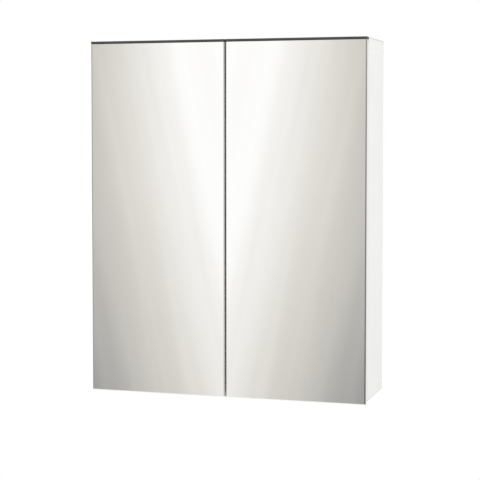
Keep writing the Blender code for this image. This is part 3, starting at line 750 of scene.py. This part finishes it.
def cam_covers(materials):
    """Press-in plastic covers over the cams that join the top and bottom boards to the sides."""
    radius, thickness = CAM_RADIUS, CAM_THICKNESS

    def fill(shape):
        rim = []
        for angle in range(0, 91, 15):
            inward = CAM_ROUND * (1 - math.cos(math.radians(angle)))
            under = CAM_ROUND * (1 - math.sin(math.radians(angle)))
            rim.append((radius - inward, thickness - under))
        dish = [(radius * 0.72, thickness), (radius * 0.68, thickness - CAM_DISH)]
        turned(shape, [(0.0, 0.0), (radius, 0.0), *rim, *dish, (0.0, thickness - CAM_DISH)], 48)

    mesh = mesh_from("cam_cover", fill, [materials["cap"]])
    for panel, direction in (("top_panel", -1), ("bottom_panel", 1)):
        low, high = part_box(panel)
        face = low[2] if direction < 0 else high[2]
        for side, sign in SIDES.items():
            for index, depth in enumerate(CAM_DEPTHS):
                place = (sign * (high[0] - CAM_FROM_SIDE), -depth, face)
                matrix = facing(place, (0, 0, direction))
                name = f"{panel}_cam_cover_{side}_{index + 1}"
                place_piece(name, mesh, CASE_BODY, matrix)


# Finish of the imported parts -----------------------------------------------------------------


def dress(name, material):
    """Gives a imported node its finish."""
    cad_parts[name].material_slots[0].material = material


def dress_case(materials, group):
    for side in SIDES:
        name = f"side_panel_{side}"
        dress(name, board_material(name, 0, raw_rear=True, band_tone=1.0))
        dress(f"hanging_plate_{side}", materials["zinc"])
    for name in ("top_panel", "bottom_panel"):
        dress(name, board_material(name, 2, raw_rear=True))
    dress("hanging_rail", board_material("hanging_rail", 1, raw_edges=(0, 2)))
    dress("back_panel", materials["hardboard"])
    for end in ENDS:
        dress(f"{end}_shelf", materials["shelf_glass"])
        for side in SIDES:
            for column in ("rear", "front"):
                dress(f"{end}_shelf_pin_{side}_{column}", materials["nickel"])
    widths = {"side_panel": 0.15, "top_panel": 0.15, "bottom_panel": 0.15, "hanging_rail": 0.15,
              "shelf_pin": 0.25, "shelf": 0.12}
    for name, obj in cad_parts.items():
        width = next((width for key, width in widths.items() if key in name), None)
        if width is not None:
            soften(obj, group, width * MM)


def dress_doors(materials, group):
    for side in SIDES:
        panel = f"{side}_door_panel"
        dress(panel, board_material(panel, 1, foiled_foot=FOILED_FOOT))
        soften(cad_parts[panel], group, 0.4 * MM)
        dress(f"{side}_mirror_adhesive", materials["adhesive"])
        trim = f"{side}_door_top_trim"
        dress(trim, materials["trim"])
        soften(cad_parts[trim], group, 0.15 * MM)


def dress_hinges(materials, group):
    for side in SIDES:
        for end in ENDS:
            for piece in ("mounting_plate", "hinge_arm", "outer_link", "inner_link", "hinge_cup"):
                name = f"{side}_{end}_{piece}"
                dress(name, materials["nickel"])
                soften(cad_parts[name], group, 0.2 * MM)


# Studio -------------------------------------------------------------------------------------


def held(tree, value, low, high):
    """The value kept between two limits."""
    return add(tree, "ShaderNodeClamp", {"Value": value, "Min": low, "Max": high}).outputs[0]


def slanting_streaks(tree, offset, upward):
    """Faint broad streaks that lean away from the middle of each bright panel as they rise."""
    spread = maths(tree, "SUBTRACT", offset, maths(tree, "MULTIPLY", upward, 2.0))
    where = add(tree, "ShaderNodeCombineXYZ", {0: spread, 1: upward}).outputs[0]
    return noise(tree, stretched(tree, where, (6.5, 3.0, 1.0)), 1.0, 2.0)


def curtains(tree, way):
    """How much of a narrow dark curtain a direction meets, before the doors on the right and behind
    them on the left, and how dark that side's curtain is."""
    to_right = ramp(tree, way[0], -0.1, 0.1)
    rearward = maths(tree, "SUBTRACT", way[1], ramp(tree, to_right, 0.0, 1.0, *CURTAIN_STARTS))
    share = ramp(tree, rearward, 0.0, ramp(tree, to_right, 0.0, 1.0, *CURTAIN_EDGES))
    share = maths(tree, "MULTIPLY", share, ramp(tree, rearward, 0.22, 0.30, 1.0, 0.0))
    share = maths(tree, "MULTIPLY", share, ramp(tree, maths(tree, "ABSOLUTE", way[0]), 0.70, 0.80))
    share = maths(tree, "MULTIPLY", share, ramp(tree, maths(tree, "ABSOLUTE", way[2]), 0.35, 0.5, 1.0, 0.0))
    left_tone, middle_tone = CURTAIN_TONES
    height = held(tree, way[2], -0.25, 0.25)
    right_tone = maths(tree, "MULTIPLY_ADD", height, CURTAIN_RISE, middle_tone)
    return share, blend(tree, to_right, left_tone, right_tone)


def room_in_mirrors(tree, direction):
    """What glossy surfaces show of the room, the same before and behind: a row of soft bright panels on
    a warm grey, wide above and narrow below, and a dark curtain at each side that draws the edges of
    the glass."""
    way = add(tree, "ShaderNodeSeparateXYZ", {0: direction}).outputs
    ahead = maths(tree, "MAXIMUM", maths(tree, "ABSOLUTE", way[1]), 0.02)
    sideways = maths(tree, "DIVIDE", way[0], ahead)
    level = maths(tree, "SQRT", maths(tree, "SUBTRACT", 1.0, maths(tree, "MULTIPLY", way[2], way[2])))
    upward = maths(tree, "DIVIDE", way[2], maths(tree, "MAXIMUM", level, 0.1))

    offset = maths(tree, "PINGPONG", maths(tree, "SUBTRACT", sideways, -PANEL_SPACING), PANEL_SPACING / 2)
    offset = maths(tree, "DIVIDE", offset, PANEL_HALF)
    streaks = slanting_streaks(tree, offset, upward)
    peak = maths(tree, "MULTIPLY_ADD", held(tree, upward, -0.35, 0.09), 1.42, 1.09)
    from_foot = maths(tree, "ADD", held(tree, upward, -0.35, 0.30), 0.11)
    slope = maths(tree, "MULTIPLY_ADD", maths(tree, "MULTIPLY", from_foot, from_foot), 4.5, 0.45)
    glow = maths(tree, "SUBTRACT", peak, maths(tree, "MULTIPLY", slope, offset))
    darkest, brightest = GLOW_LIMITS
    glow = maths(tree, "SMOOTH_MIN", glow, brightest, GLOW_BLEND)
    glow = maths(tree, "SMOOTH_MAX", glow, darkest, GLOW_BLEND)
    glow = maths(tree, "ADD", glow, ramp(tree, streaks, 0.3, 0.7, -STREAK_GLOW, STREAK_GLOW))
    glow = blend(tree, ramp(tree, maths(tree, "ABSOLUTE", sideways), 0.9, 1.8), glow, SIDE_GLOW)
    glow = blend(tree, ramp(tree, upward, 0.6, 1.5), glow, UPPER_GLOW)
    share, dark = curtains(tree, way)
    glow = blend(tree, share, glow, dark)

    warm = tint(tree, ramp(tree, streaks, 0.4, 0.6), *WARM_TINTS)
    from_middle = maths(tree, "ABSOLUTE", maths(tree, "SUBTRACT", glow, WARMEST_GLOW))
    whiter = maths(tree, "ADD", from_middle, ramp(tree, streaks, 0.3, 0.7, -0.04, 0.04))
    colour = {0: tint(tree, ramp(tree, whiter, 0.0, 0.45), warm, (1.0, 1.0, 1.0)), "Scale": glow}
    return add(tree, "ShaderNodeVectorMath", colour, operation="SCALE").outputs["Vector"]


def studio_world():
    """Soft light that is a little stronger from above and from the right, before a plain white backdrop."""
    world = bpy.data.worlds.new("studio")
    bpy.context.scene.world = world
    world.use_nodes = True
    tree = world.node_tree
    tree.nodes.clear()
    direction = add(tree, "ShaderNodeTexCoord").outputs["Generated"]
    room = room_in_mirrors(tree, direction)
    mirrored = add(tree, "ShaderNodeBackground", {"Color": room, "Strength": ROOM_STRENGTH})
    lean = add(tree, "ShaderNodeVectorMath", {0: direction, 1: SOFT_LIGHT_LEAN}, operation="DOT_PRODUCT")
    strength = maths(tree, "ADD", lean.outputs["Value"], SOFT_LIGHT)
    soft = add(tree, "ShaderNodeBackground", {"Color": (1.0, 1.0, 1.0, 1.0), "Strength": strength})
    backdrop = add(tree, "ShaderNodeBackground", {"Color": (1.0, 1.0, 1.0, 1.0), "Strength": 1.0})
    path = add(tree, "ShaderNodeLightPath").outputs
    light = {0: path["Is Glossy Ray"], 1: soft.outputs[0], 2: mirrored.outputs[0]}
    light = add(tree, "ShaderNodeMixShader", light).outputs[0]
    surface = {0: path["Is Camera Ray"], 1: light, 2: backdrop.outputs[0]}
    surface = add(tree, "ShaderNodeMixShader", surface).outputs[0]
    add(tree, "ShaderNodeOutputWorld", {"Surface": surface})


def studio_floor():
    def fill(shape):
        bmesh.ops.create_circle(shape, cap_ends=True, segments=96, radius=FLOOR_RADIUS)

    floor = bpy.data.objects.new("floor", mesh_from("floor", fill, [floor_material()]))
    floor.location.z = FLOOR_HEIGHT
    bpy.context.scene.collection.objects.link(floor)


def studio_camera():
    camera = bpy.data.cameras.new("camera")
    camera.lens = CAMERA_LENS
    camera.shift_y = CAMERA_SHIFT
    camera.clip_start = 0.01
    holder = bpy.data.objects.new("camera", camera)
    holder.location = CAMERA_PLACE
    holder.rotation_euler = (math.radians(90) - CAMERA_DIP, 0.0, CAMERA_TURN)
    bpy.context.scene.collection.objects.link(holder)
    bpy.context.scene.camera = holder


def main():
    bpy.context.scene.view_settings.view_transform = "Standard"
    studio_camera()
    studio_world()
    studio_floor()
    materials = {
        "silver": silvered_material(),
        "arris": arris_material(),
        "glass_edge": glass_edge_material(),
        "mirror_back": mirror_back_material(),
        "adhesive": adhesive_material(),
        "trim": trim_material(),
        "shelf_glass": shelf_glass_material(),
        "nickel": nickel_material(),
        "zinc": zinc_material(),
        "silicone": silicone_material(),
        "cap": cap_material(),
        "hardboard": hardboard_material(),
    }
    group = clean_surface_group()
    dress_case(materials, group)
    dress_doors(materials, group)
    dress_hinges(materials, group)
    for side in SIDES:
        mirror_glass(side, materials)
        door_bumpers(side, materials)
    all_screws(materials)
    cam_covers(materials)


main()
